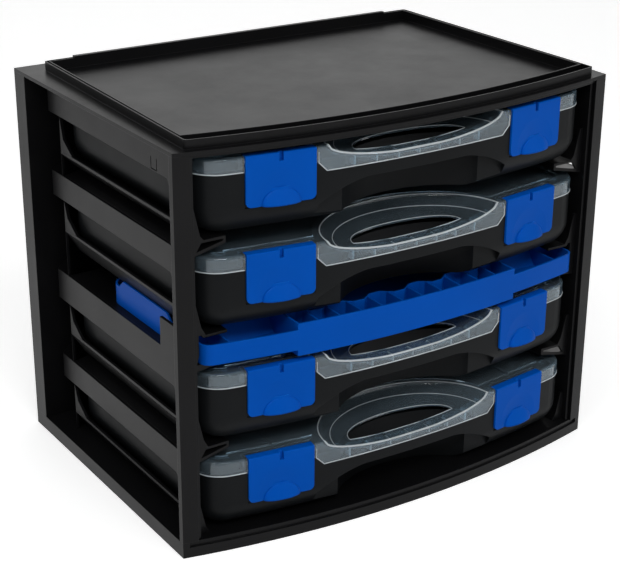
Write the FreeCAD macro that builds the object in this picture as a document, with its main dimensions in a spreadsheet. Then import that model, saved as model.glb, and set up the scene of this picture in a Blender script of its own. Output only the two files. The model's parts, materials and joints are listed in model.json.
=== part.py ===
import FreeCAD, Part
import Sketcher
import math
import os
from FreeCAD import Vector

# Hobby workstation organizer: a cabinet with four carry cases and a sorting tray.
# Frame: origin under the middle of the cabinet, X to the right, -Y to the front, +Z up.
# Case 1 is the top one, case 4 the bottom one. All sizes are millimetres.

os.makedirs("parts", exist_ok=True)
doc = FreeCAD.newDocument("organizer")

SIZES = {
    # Cabinet shell, drawn round the cases
    "side_room": 19.0,
    "back_room": 41.7,
    "front_bow": 22.0,
    "plate_over_case": 8.8,
    "plate_thickness": 2.6,
    "plinth_rise": 12.2,
    "plinth_wall": 2.8,
    "wall": 2.4,
    "joint_gap": 0.2,
    "overrun": 5.0,
    # Raised rim of the top
    "rim_rise": 6.6,
    "rim_inset": 11.0,
    "rim_front_inset": 5.5,
    "rim_back_inset": 16.5,
    "rim_taper": 7.0,
    "rim_width": 3.8,
    "rim_front_width": 12.0,
    "rim_edge": 1.1,
    "rim_groove": 5.0,
    "rim_back_step": 1.4,
    "rim_back_notch": 24.0,
    "rim_corner": 2.5,
    "surface_drop": 1.0,
    # Front frame of the opening
    "post_width": 11.6,
    "post_depth": 5.0,
    "frame_strip": 4.7,
    "frame_groove": 2.4,
    "groove_depth": 1.6,
    # Side panels
    "web_inset": 12.5,
    "back_flange": 18.4,
    "band_over_lid": 3.6,
    "band_under_lid": 16.5,
    "top_band_under_lid": 19.0,
    "lip_rise": 17.5,
    "top_lip_rise": 11.0,
    "window_front": 21.0,
    "window_end": 9.3,
    "window_sweep": 20.0,
    "lip_thick": 2.2,
    "cradle_inset": 6.0,
    "ledge_width": 23.0,
    "ledge_thick": 2.0,
    "return_drop": 3.4,
    "gusset_rise": 24.0,
    "gusset_top": 2.6,
    "gusset_foot": 4.0,
    "band_end": 9.7,
    "slot_wall_rise": 22.0,
    "snap_tab_width": 9.0,
    "snap_tab_rise": 9.0,
    "snap_tab_slot": 0.8,
    "snap_tab_depth": 0.7,
    "snap_tab_first": 50.0,
    "snap_tab_second": 14.0,
    # Cases
    "case_width": 338.0,
    "case_depth": 230.0,
    "case_height": 57.0,
    "case_setback": 4.3,
    "case_clearance": 12.8,
    "case_seat_gap": 0.3,
    "case_corner": 24.0,
    "hull_radius": 22.0,
    "base_wall": 2.0,
    "lid_side": 11.5,
    "lid_gap": 0.3,
    "lid_wall": 1.6,
    "lid_edge_radius": 2.4,
    "seat_rim": 2.5,
    "border_width": 11.0,
    "border_drop": 1.2,
    "stiffener_width": 2.2,
    "stiffener_length": 42.0,
    # Handle of a case
    "skirt_gap": 2.0,
    "skirt_drop": 18.0,
    "skirt_chamfer": 6.5,
    "dish_margin": 7.0,
    "dish_depth": 58.0,
    "dish_drop": 13.2,
    "hole_margin": 28.0,
    "hole_front": 12.0,
    "hole_depth": 23.0,
    "well_margin": 14.0,
    "well_depth": 39.0,
    "well_gap": 1.6,
    "grip_depth": 10.0,
    "grip_bar_rise": 9.0,
    "grip_margin": 1.0,
    "grip_blend": 40.0,
    "grip_foot": 15.0,
    "arch_share": 0.68,
    "grip_rib_pitch": 18.0,
    "grip_rib_thick": 1.2,
    # Latches
    "latch_inset": 58.0,
    "latch_width": 52.0,
    "latch_foot": 20.6,
    "latch_plate": 2.2,
    "latch_proud": 0.8,
    "latch_top_depth": 6.0,
    "latch_pocket_depth": 9.6,
    "latch_corner": 4.0,
    "latch_notch_width": 3.2,
    "latch_notch_depth": 6.0,
    "latch_barrel": 3.0,
    "latch_pivot_drop": 4.4,
    "latch_pivot_depth": 4.6,
    "latch_pin_radius": 1.2,
    "pin_clearance": 0.05,
    "latch_side_gap": 0.4,
    "latch_back_gap": 0.4,
    "scoop_half": 13.5,
    "scoop_rise": 12.0,
    "scoop_proud": 3.0,
    "scoop_dent_radius": 19.0,
    "scoop_dent_depth": 0.9,
    # Lid hinges
    "hinge_inset": 69.0,
    "hinge_length": 26.0,
    "hinge_barrel": 2.7,
    "hinge_pin_radius": 1.3,
    "hinge_gap": 0.4,
    "hinge_drop": 16.5,
    # Sorting tray
    "tray_side_gap": 1.0,
    "tray_back_room": 67.3,
    "tray_headroom": 1.4,
    "tray_rise": 15.2,
    "tray_wall": 1.6,
    "tray_corner": 9.0,
    "tray_back_corner": 15.0,
    "tray_end_width": 70.0,
    "tray_mid_over": 5.0,
    "tray_mid_under": 4.6,
    "tray_shelf_gap": 0.3,
    "tray_shelf_over_lid": 8.2,
    "tray_pocket_count": 11.0,
    "tray_divider": 1.2,
    "tray_divider_drop": 1.2,
    "tray_row_shallow": 20.0,
    "tray_row_deep": 26.5,
    "tray_end_row": 30.0,
    "tray_end_cell": 21.0,
    "tray_slope_run": 9.0,
    "tray_lug_front": 46.0,
    "tray_lug_back": 17.0,
    "tray_lug_slope": 7.0,
    "tray_lug_over": 6.1,
    "slot_front": 49.0,
}

# Levels of the handle dish, as shares of its depth from the top down
BOWL_SHARES = (0.0, 0.3, 0.55, 0.75, 0.89, 0.96)

sheet = doc.addObject("Spreadsheet::Sheet", "sizes")
for row, (alias, size) in enumerate(SIZES.items(), start=1):
    sheet.set(f"A{row}", alias)
    sheet.set(f"B{row}", str(size))
    sheet.setAlias(f"B{row}", alias)
doc.recompute()


def size(alias):
    return float(getattr(sheet, alias))


# Places worked out from the sizes
case_half = size("case_width") / 2
half_width = case_half + size("side_room")
total_depth = size("case_setback") + size("case_depth") + size("back_room")
back_y = total_depth / 2
apex_y = -back_y
corner_y = apex_y + size("front_bow")
bow_radius = (half_width ** 2 + size("front_bow") ** 2) / (2 * size("front_bow"))
bow_centre_y = apex_y + bow_radius
web_out = half_width - size("web_inset")
web_in = web_out - size("wall")
flange_y = back_y - size("back_flange")
overrun = size("overrun")

case_back = apex_y + size("case_setback") + size("case_depth")
window_back = case_back - size("window_end")
band_back = case_back + size("band_end")
case_pitch = size("case_height") + size("case_clearance")
tray_stack = size("tray_shelf_over_lid") + size("tray_shelf_gap") + size("tray_rise")
tray_space = tray_stack + size("tray_mid_over") + size("tray_headroom") - size("case_clearance")
case_bottoms = [
    size("plinth_rise") + size("case_seat_gap") + level * case_pitch
    + (tray_space if level >= 2 else 0.0)
    for level in (3, 2, 1, 0)
]
plate_level = case_bottoms[0] + size("case_height") + size("plate_over_case")
plate_under = plate_level - size("plate_thickness")
lid_side_level = size("case_height") - size("lid_side")

latch_x = case_half - size("latch_inset")
latch_height = size("case_height") - size("latch_foot")
skirt_half = latch_x - size("latch_width") / 2 - size("skirt_gap")
dish_half = skirt_half - size("dish_margin")
hole_half = dish_half - size("hole_margin")
well_half = dish_half - size("well_margin")
grip_half = skirt_half - size("grip_margin")
grip_rise = size("case_height") - size("skirt_drop") - size("grip_bar_rise")
hinge_x = case_half - size("hinge_inset")
tray_half = case_half - size("tray_side_gap")
tray_mid_half = tray_half - size("tray_end_width")
tray_back = case_back - size("tray_back_room")
cradle_foot = case_half - size("cradle_inset")
ledge_reach = case_half - size("ledge_width")


def front_y(x, inset=0.0):
    """Y of the bowed front at x, a given distance behind the plate's front edge."""
    radius = bow_radius - inset
    return bow_centre_y - math.sqrt(radius ** 2 - x ** 2)


def box(x0, x1, y0, y1, z0, z1):
    return Part.makeBox(x1 - x0, y1 - y0, z1 - z0, Vector(x0, y0, z0))


def rod(start, direction, length, radius):
    return Part.makeCylinder(radius, length, start, direction)


def prism_z(face, z0, z1):
    moved = face.copy()
    moved.translate(Vector(0, 0, z0))
    return moved.extrude(Vector(0, 0, z1 - z0))


def prism_x(points, x0, x1):
    """Solid between x0 and x1 over a polygon of (y, z) points."""
    corners = [Vector(x0, y, z) for y, z in points]
    return Part.Face(Part.makePolygon(corners + corners[:1])).extrude(Vector(x1 - x0, 0, 0))


def prism_y(points, y0, y1):
    """Solid between y0 and y1 over a polygon of (x, z) points."""
    corners = [Vector(x, y0, z) for x, z in points]
    return Part.Face(Part.makePolygon(corners + corners[:1])).extrude(Vector(0, y1 - y0, 0))


def mirror_x(shape):
    return shape.mirror(Vector(0, 0, 0), Vector(1, 0, 0))


def bowed_face(half, inset, back, taper=0.0):
    """Plan with a bowed front: a share of the circle that the plate's front edge follows."""
    left = Vector(-half, front_y(half, inset), 0)
    middle = Vector(0, front_y(0, inset), 0)
    right = Vector(half, front_y(half, inset), 0)
    front = Part.Arc(left, middle, right).toShape()
    back_right = Vector(half - taper, back, 0)
    back_left = Vector(-half + taper, back, 0)
    edges = [
        front,
        Part.makeLine(right, back_right),
        Part.makeLine(back_right, back_left),
        Part.makeLine(back_left, left),
    ]
    return Part.Face(Part.Wire(edges))


def vertical_edges(solid, test):
    picked = []
    for edge in solid.Edges:
        low = edge.Vertexes[0].Point
        high = edge.Vertexes[-1].Point
        upright = abs(low.x - high.x) < 0.01 and abs(low.y - high.y) < 0.01
        if upright and test(low):
            picked.append(edge)
    return picked


def bowed_prism(half, inset, back, z0, z1, front_corner=0.0, back_corner=0.0, taper=0.0):
    """Upright block on a bowed plan, its four corners rounded."""
    solid = prism_z(bowed_face(half, inset, back, taper), z0, z1)
    middle_y = (front_y(half, inset) + back) / 2
    if front_corner > 0:
        edges = vertical_edges(solid, lambda p: p.y < middle_y)
        solid = solid.makeFillet(front_corner, edges)
    if back_corner > 0:
        edges = vertical_edges(solid, lambda p: p.y > middle_y)
        solid = solid.makeFillet(back_corner, edges)
    return solid


def one(shape):
    """The single solid of a boolean's result, with split faces joined."""
    shape = shape.removeSplitter()
    if len(shape.Solids) == 1:
        return shape.Solids[0]
    return Part.Compound(shape.Solids)


def add_part(label, shape):
    part = doc.addObject("Part::Feature", label)
    part.Label = label
    part.Shape = shape
    return part


# Top panel

def rim_ring(inset_side, inset_front, inset_back, width, front_width, z0, z1):
    """Ring of the rim: its front follows the bow."""
    outer = bowed_prism(half_width - inset_side, inset_front, back_y - inset_back, z0, z1,
                        size("rim_corner"), size("rim_corner"), size("rim_taper"))
    inner = bowed_prism(half_width - inset_side - width, inset_front + front_width,
                        back_y - inset_back - width, z0 - overrun, z1 + overrun,
                        taper=size("rim_taper"))
    return outer.cut(inner)


def build_top_panel():
    level = plate_level
    top = level + size("rim_rise")
    side, front, back = size("rim_inset"), size("rim_front_inset"), size("rim_back_inset")
    width, front_width, edge = size("rim_width"), size("rim_front_width"), size("rim_edge")
    plate = prism_z(bowed_face(half_width, 0, back_y), plate_under, level)
    rim = rim_ring(side, front, back, width, front_width, level, top)
    groove = rim_ring(side + edge, front + edge, back + edge, width - 2 * edge,
                      front_width - 2 * edge, top - size("rim_groove"), top + overrun)
    # The middle of the back rim stands a step higher than its two ends
    half_step = half_width - side - size("rim_taper") - size("rim_back_notch")
    step = box(-half_step, half_step, back_y - back - width, back_y - back,
               top - edge, top + size("rim_back_step"))
    recess = bowed_prism(half_width - side - width, front + front_width, back_y - back - width,
                         level - size("surface_drop"), level + overrun, taper=size("rim_taper"))
    panel = plate.fuse(rim).cut(groove).fuse(step).cut(recess)
    # Inner strip of the front frame hangs under the plate's edge
    strip_low = plate_under - size("frame_groove")
    strip = prism_z(bowed_face(half_width - size("post_width"), size("groove_depth"), corner_y),
                    strip_low, plate_under + size("joint_gap"))
    behind = prism_z(bowed_face(half_width, size("groove_depth") + size("wall"), back_y),
                     strip_low - overrun, plate_under)
    return one(panel.fuse(strip.cut(behind)))


# Bottom panel

def build_bottom_panel():
    rise, wall = size("plinth_rise"), size("plinth_wall")
    block = prism_z(bowed_face(half_width, 0, back_y), 0, rise)
    hollow = bowed_prism(half_width - wall, wall, back_y - wall, -overrun, rise - wall)
    shell = block.cut(hollow)
    # Rebate line round the opening, along the front edge
    groove_low = rise - size("frame_groove") - size("groove_depth")
    outer = prism_z(bowed_face(half_width - size("frame_strip"), -overrun, corner_y + overrun),
                    groove_low, rise + overrun)
    inner = prism_z(bowed_face(half_width, size("groove_depth"), back_y), 0, rise + 2 * overrun)
    shell = shell.cut(outer.cut(inner))
    # Ribs under the floor
    span_x, span_y = half_width - wall, back_y - wall
    for share in (-0.5, 0.0, 0.5):
        x = share * span_x
        rib = box(x - wall / 2, x + wall / 2, front_y(x, wall), span_y, wall, rise - wall)
        shell = shell.fuse(rib)
    for share in (-0.4, 0.1, 0.6):
        y = share * span_y
        shell = shell.fuse(box(-span_x, span_x, y - wall / 2, y + wall / 2, wall, rise - wall))
    return one(shell)


# Side panels, drawn for the left side

def bay_levels(bay):
    """Bottom of the case, top of its lid, lower edge of the band and level of the lip."""
    bottom = case_bottoms[bay]
    lid_top = bottom + size("case_height")
    drop = size("top_band_under_lid") if bay == 0 else size("band_under_lid")
    rise = size("top_lip_rise") if bay == 0 else size("lip_rise")
    return bottom, lid_top, lid_top - drop, bottom + rise


def ledge_level(bay):
    return case_bottoms[bay] - size("case_seat_gap")


def band_top(bay):
    """Upper edge of the band beside a lid, which is the foot of the channel above it."""
    lid_top = case_bottoms[bay] + size("case_height")
    if bay == 2:
        return lid_top + size("tray_shelf_over_lid")
    return lid_top + size("band_over_lid")


def tray_level():
    """Level of the shelf that carries the tray."""
    return band_top(2)


def runner(bay, y0, y1):
    """Corrugated stretch of the wall under a bay: cradle, ledge and return to the band below."""
    lip = bay_levels(bay)[3]
    ledge = ledge_level(bay)
    thick = size("ledge_thick")
    foot, reach = -cradle_foot, -ledge_reach
    if bay == 3:
        points = [
            (-web_out, lip), (-web_in, lip), (foot, ledge), (foot - thick, ledge),
            (-web_out, lip - size("lip_thick")),
        ]
        return prism_y(points, y0, y1)
    low = band_top(bay + 1)
    drop = size("return_drop")
    inner = [
        (-web_in, lip), (foot, ledge), (reach, ledge), (reach, ledge - thick - drop),
        (-web_in, low - size("wall")),
    ]
    outer = [
        (-web_in, low), (reach - thick, ledge - drop),
        (reach - thick, ledge - thick), (foot - thick, ledge - thick),
        (-web_out, lip - size("lip_thick")), (-web_out, lip),
    ]
    if bay == 1:
        shelf = low
        cradle = prism_y([
            (-web_out, lip), (-web_in, lip), (foot, ledge), (reach, ledge), (reach, ledge - thick),
            (foot - thick, ledge - thick), (-web_out, lip - size("lip_thick")),
        ], y0, y1)
        floor = prism_y([
            (-web_in, shelf), (reach, shelf), (reach, shelf - thick), (-web_in, shelf - thick - drop),
        ], y0, y1)
        return cradle.fuse(floor)
    return prism_y(inner + outer, y0, y1)


def gusset(bay):
    """Front end plate of a runner, its edge sloping from the post down to the ledge."""
    y0 = corner_y + size("post_depth")
    y1 = y0 + size("wall")
    ledge = ledge_level(bay)
    top = ledge + size("gusset_rise")
    foot, reach = size("gusset_foot") - case_half, -ledge_reach
    thick = size("ledge_thick")
    if bay == 3:
        low = size("plinth_rise")
        return prism_y([(-web_in, low), (-web_in, top), (-web_in + size("gusset_top"), top),
                        (foot, ledge), (foot, low)], y0, y1)
    low = band_top(bay + 1) - size("wall")
    points = [(-web_in, low), (-web_in, top), (-web_in + size("gusset_top"), top),
              (foot, ledge), (reach, ledge), (reach, ledge - thick), (foot, ledge - thick),
              (-web_in + thick, low)]
    plate = prism_y(points, y0, y1)
    if bay == 1:
        plate = plate.cut(tray_passage(y0 - overrun, y1 + overrun))
    return plate


def tray_passage(y0, y1):
    """Way through which the tray slides, under the cradle above it."""
    gap = size("lid_gap")
    ledge_low = ledge_level(1) - size("ledge_thick")
    level = tray_level()
    side = -tray_half - 2 * gap
    lug = level + size("tray_shelf_gap") + size("tray_rise") + size("tray_lug_over") + gap
    points = [(side, level), (side, lug), (side + size("tray_wall") + 2 * gap, lug),
              (-cradle_foot, ledge_low), (0, ledge_low), (0, level)]
    return prism_y(points, y0, y1)


def window(bay):
    """Opening through the web that shows the side of the case, swept up at its rear end."""
    bottom, lid_top, band_low, lip = bay_levels(bay)
    rear = window_back
    front = corner_y + size("window_front")
    sweep = size("window_sweep")
    x0, x1 = -web_out - overrun, -web_in + overrun
    points = [
        (front, lip + sweep / 2), (front + sweep / 2, band_low), (rear, band_low),
        (rear - sweep / 4, lip + sweep / 2), (rear - sweep, lip), (front, lip),
    ]
    return prism_x(points, x0, x1)


def turned_wall(y_start, z0, z1):
    """Stretch of wall that turns inwards at half a right angle and runs to the back flange."""
    thick = size("wall")
    run = flange_y + thick - y_start
    points = [
        Vector(-web_out, y_start, z0), Vector(-web_in, y_start, z0),
        Vector(-web_in + run, flange_y + thick, z0), Vector(-web_out + run - thick, flange_y + thick, z0),
    ]
    face = Part.Face(Part.makePolygon(points + points[:1]))
    return face.extrude(Vector(0, 0, z1 - z0))


def closing_plate(z0, z1):
    """Level plate that closes the step between the two turned stretches."""
    y_low, y_high = window_back, band_back
    end = flange_y + size("wall")
    points = [
        Vector(-web_out, y_low, z0), Vector(-web_out, y_high, z0),
        Vector(-web_out + end - y_high, end, z0), Vector(-web_in + end - y_low, end, z0),
        Vector(-web_in, y_low, z0),
    ]
    face = Part.Face(Part.makePolygon(points + points[:1]))
    return face.extrude(Vector(0, 0, z1 - z0))


def build_left_side():
    low, high = size("plinth_rise"), plate_under
    wall, gap = size("wall"), size("joint_gap")
    post_back = corner_y + size("post_depth")
    # Post with the rebate line in its front
    plan = prism_z(bowed_face(half_width, 0, back_y), low, high)
    post = box(-half_width, -half_width + size("post_width"), apex_y, post_back, low, high)
    strip = size("frame_strip")
    line = box(-half_width + strip, -half_width + strip + size("frame_groove"),
               apex_y, front_y(half_width) - size("groove_depth"), low - overrun, high + overrun)
    post = post.common(plan).cut(line)
    # Wall behind the post that joins it to the web
    post = post.fuse(box(-half_width + strip, -web_in, post_back - wall, post_back, low, high))
    web = box(-web_out, -web_in, corner_y, band_back, low, high)
    # Flange round the recess at the back
    flange = box(-half_width, -ledge_reach, flange_y, flange_y + wall, low, high)
    back_strip = box(-half_width, -half_width + wall, flange_y, back_y, low, high)
    side = web.fuse(turned_wall(band_back, low, high))
    for bay in range(4):
        band_low = bay_levels(bay)[2]
        channel_low = low if bay == 3 else band_top(bay + 1)
        lip = bay_levels(bay)[3]
        side = side.cut(box(-web_out - overrun, -web_in + overrun, post_back - wall,
                            window_back, channel_low, lip))
        side = side.cut(box(-web_out - overrun, 0, window_back, flange_y, channel_low, band_low))
    for bay in range(4):
        side = side.cut(window(bay))
    for bay in range(4):
        band_low = bay_levels(bay)[2]
        channel_low = low if bay == 3 else band_top(bay + 1)
        side = side.fuse(turned_wall(window_back, channel_low, band_low))
        side = side.fuse(closing_plate(band_low, band_low + wall))
        if bay < 3:
            side = side.fuse(closing_plate(channel_low - wall, channel_low))
    # Stretch of wall in front of the slot that shows the end of the tray
    slot_wall = box(-web_out, -web_in, corner_y + gap, corner_y + size("slot_front"),
                    tray_level(), tray_level() + size("slot_wall_rise"))
    side = side.fuse(slot_wall)
    side = side.fuse(post).fuse(flange).fuse(back_strip)
    for place in ("snap_tab_first", "snap_tab_second"):
        side = side.cut(snap_tab(corner_y + size(place)))
    return one(side)


def build_left_runner(bay):
    """Runner of one bay: it carries a case's edge and closes the channel under the window."""
    return one(runner(bay, corner_y + size("post_depth"), window_back).fuse(gusset(bay)))


def snap_tab(y):
    """U-shaped line round a spring tab in the top band."""
    width, rise = size("snap_tab_width"), size("snap_tab_rise")
    slot, depth = size("snap_tab_slot"), size("snap_tab_depth")
    low = bay_levels(0)[2] + slot
    x0, x1 = -web_out - overrun, -web_out + depth
    outer = box(x0, x1, y - width / 2, y + width / 2, low, low + rise)
    inner = box(x0, x1, y - width / 2 + slot, y + width / 2 - slot, low + slot, low + rise + slot)
    return outer.cut(inner)


# Cases, drawn with the bottom at zero

def latch_frame(side):
    """Placement of a latch's own frame: x along the front, -y outwards, z up."""
    x = side * latch_x
    inset = size("case_setback")
    radius = bow_radius - inset
    angle = math.degrees(math.asin(x / radius))
    return FreeCAD.Placement(Vector(x, front_y(x, inset), 0), FreeCAD.Rotation(Vector(0, 0, 1), angle))


def on_front(shape, side):
    moved = shape.copy()
    moved.Placement = latch_frame(side).multiply(moved.Placement)
    return moved


def case_block(inset, z0, z1, corner):
    """Upright block on the plan of a case, a distance inside its outline."""
    return bowed_prism(case_half - inset, size("case_setback") + inset, case_back - inset,
                       z0, z1, corner, corner)


def hull(inset, bottom, top, radius, corner):
    """Body of a case: its lower edge is rounded all the way round."""
    block = case_block(inset, bottom, top, corner)
    lower = [edge for edge in block.Edges if edge.BoundBox.ZMax < bottom + size("lid_gap")]
    return block.makeFillet(radius, lower)


def half_oval(half, depth, y_front, z0, z1):
    """Block over half an ellipse that bulges backwards from y_front."""
    major, minor = max(half, depth), min(half, depth)
    turn = FreeCAD.Rotation() if half >= depth else FreeCAD.Rotation(Vector(0, 0, 1), 90)
    ellipse = Part.Ellipse(Vector(0, 0, 0), major, minor).toShape()
    ellipse.Placement = FreeCAD.Placement(Vector(0, y_front, z0), turn)
    solid = Part.Face(Part.Wire([ellipse])).extrude(Vector(0, 0, z1 - z0))
    keep = box(-half - overrun, half + overrun, y_front, y_front + depth + overrun, z0, z1)
    return solid.common(keep)


def bowl(half, depth, drop, centre):
    """Dish with elliptic sections: its outline shrinks along a quarter ellipse down to a floor."""
    turn = FreeCAD.Rotation() if half >= depth else FreeCAD.Rotation(Vector(0, 0, 1), 90)
    wires = []
    for share in BOWL_SHARES:
        narrow = math.sqrt(1.0 - share ** 2)
        ellipse = Part.Ellipse(Vector(0, 0, 0), max(half, depth) * narrow, min(half, depth) * narrow).toShape()
        ellipse.Placement = FreeCAD.Placement(centre - Vector(0, 0, drop * share), turn)
        wires.append(Part.Wire([ellipse]))
    return Part.makeLoft(wires, True, False)


def well_front():
    return front_y(0, size("case_setback")) + size("grip_depth")


def latch_pocket(depth, side_gap, z0, z1):
    """Room for a latch, in the latch's own frame."""
    half = size("latch_width") / 2 + side_gap
    return box(-half, half, -overrun - size("scoop_proud"), depth, z0, z1)


def grip_arch(grow):
    """Room under the handle bar, from the front back to the end of the bar."""
    half, rise = grip_half + grow, grip_rise + grow
    foot, blend = size("grip_foot") + grow, size("grip_blend")
    spring, crown = Vector(-half, 0, foot), Vector(-half + blend, 0, rise)
    bend = Vector(-half + blend / 2, 0, foot + (rise - foot) * size("arch_share"))
    far_spring, far_crown = Vector(half, 0, foot), Vector(half - blend, 0, rise)
    low_left, low_right = Vector(-half, 0, -overrun), Vector(half, 0, -overrun)
    edges = [
        Part.makeLine(low_left, spring),
        Part.Arc(spring, bend, crown).toShape(),
        Part.makeLine(crown, far_crown),
        Part.Arc(far_crown, Vector(-bend.x, 0, bend.z), far_spring).toShape(),
        Part.makeLine(far_spring, low_right),
        Part.makeLine(low_right, low_left),
    ]
    arch = Part.Face(Part.Wire(edges))
    arch.translate(Vector(0, apex_y - overrun, 0))
    return arch.extrude(Vector(0, well_front() + grow + overrun - apex_y, 0))


def skirt_outline(grow):
    """Outline of the lid's skirt, seen from the front, a distance larger all round."""
    top, low, drop = size("case_height"), lid_side_level - grow, size("skirt_drop") + grow
    half, chamfer = skirt_half + grow, size("skirt_chamfer")
    return [(-half, top), (-half, low), (-half + chamfer, top - drop),
            (half - chamfer, top - drop), (half, low), (half, top)]


def build_base():
    top = lid_side_level - size("lid_gap")
    wall, corner = size("base_wall"), size("case_corner")
    outer = hull(size("lid_gap"), 0, top, size("hull_radius"), corner)
    # Seat rim that the lid drops over
    rim_inset = size("lid_wall") + 2 * size("lid_gap")
    rim = case_block(rim_inset, top - wall, top + size("seat_rim"), corner - rim_inset)
    cavity = hull(rim_inset + wall, wall, top + size("seat_rim") + overrun,
                  size("hull_radius") - wall, corner - rim_inset - wall)
    shell = outer.fuse(rim).cut(cavity)
    # Finger well behind the handle bar, open from below
    y_front = front_y(0, size("case_setback"))
    half, depth = well_half, size("well_depth")
    well_top = size("case_height") - size("dish_drop") - size("lid_wall") - size("well_gap")
    well = half_oval(half + wall, depth + wall, y_front, 0, well_top)
    shell = shell.fuse(well.common(hull(size("lid_gap"), 0, top, size("hull_radius"), corner)))
    through = half_oval(half, depth, y_front, -overrun, well_top + 2 * overrun)
    bar = box(-case_half, case_half, apex_y - overrun, well_front(), -2 * overrun, size("case_height"))
    # The bar is lifted clear of the bench in an arch
    body = hull(size("lid_gap"), 0, top, size("hull_radius"), corner)
    shell = shell.fuse(grip_arch(wall).common(body))
    shell = shell.cut(through.cut(bar)).cut(grip_arch(0.0))
    bar_top = size("case_height") - size("skirt_drop") - size("lid_gap")
    shell = shell.cut(box(-half, half, apex_y, well_front() + size("lid_gap"), bar_top, size("case_height")))
    # Step in the front wall that the lid's skirt hangs over
    gap = size("lid_gap")
    room = prism_y(skirt_outline(gap), apex_y - overrun, corner_y)
    inner_inset = size("lid_wall") + gap
    shell = shell.cut(room.cut(case_block(inner_inset, 0, size("case_height"), corner - inner_inset)))
    # Flats behind the latches, with a thickened wall and a shelf under the latch's barrel
    plate_back = size("latch_plate") - size("latch_proud") + size("latch_back_gap")
    pocket_back = size("latch_pocket_depth") + size("lid_wall") + size("lid_gap")
    latch_low = size("case_height") - latch_height - 2 * size("lid_gap")
    half_latch = size("latch_width") / 2 + size("latch_side_gap")
    room_block = hull(size("lid_gap"), 0, top, size("hull_radius"), corner)
    for side in (-1, 1):
        pad = box(-half_latch - wall, half_latch + wall, 0, plate_back + wall, latch_low - wall, top)
        shelf = box(-half_latch - wall, half_latch + wall, 0, pocket_back + wall, top - wall, top)
        shell = shell.fuse(on_front(pad.fuse(shelf), side).common(room_block))
        room = latch_pocket(plate_back, size("latch_side_gap"), latch_low, size("case_height") + overrun)
        shell = shell.cut(on_front(room, side))
        deep = latch_pocket(pocket_back, size("latch_side_gap") + size("lid_wall") + size("lid_gap"),
                            top, size("case_height") + overrun)
        shell = shell.cut(on_front(deep, side))
    return shell


def add_base_hinges(shell):
    """Ears for the lid's hinge pins at the back of the base."""
    y, z = hinge_axis()
    radius, length = size("hinge_barrel"), size("hinge_length")
    ear = length / 4
    for side in (-1, 1):
        x_mid = side * hinge_x
        shell = shell.cut(box(x_mid - length / 2 - size("hinge_gap"), x_mid + length / 2 + size("hinge_gap"),
                              y - radius - size("hinge_gap"), case_back + overrun,
                              z - radius - size("hinge_gap"), z + radius + overrun))
        for end in (-1, 1):
            x0 = x_mid + end * (length / 2) - (ear if end > 0 else 0)
            knuckle = rod(Vector(x0, y, z), Vector(1, 0, 0), ear, radius)
            foot = box(x0, x0 + ear, y - radius, y + radius, z - 2 * radius - size("hinge_gap"), z)
            shell = shell.fuse(knuckle.fuse(foot))
        bore = rod(Vector(x_mid - length, y, z), Vector(1, 0, 0), 2 * length,
                   size("hinge_pin_radius") + size("pin_clearance"))
        shell = shell.cut(bore)
    return one(shell)


def hinge_axis():
    """Y and Z of the lid's hinge axis in a case."""
    return case_back - size("hinge_barrel") - size("lid_gap"), size("case_height") - size("hinge_drop")


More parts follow.
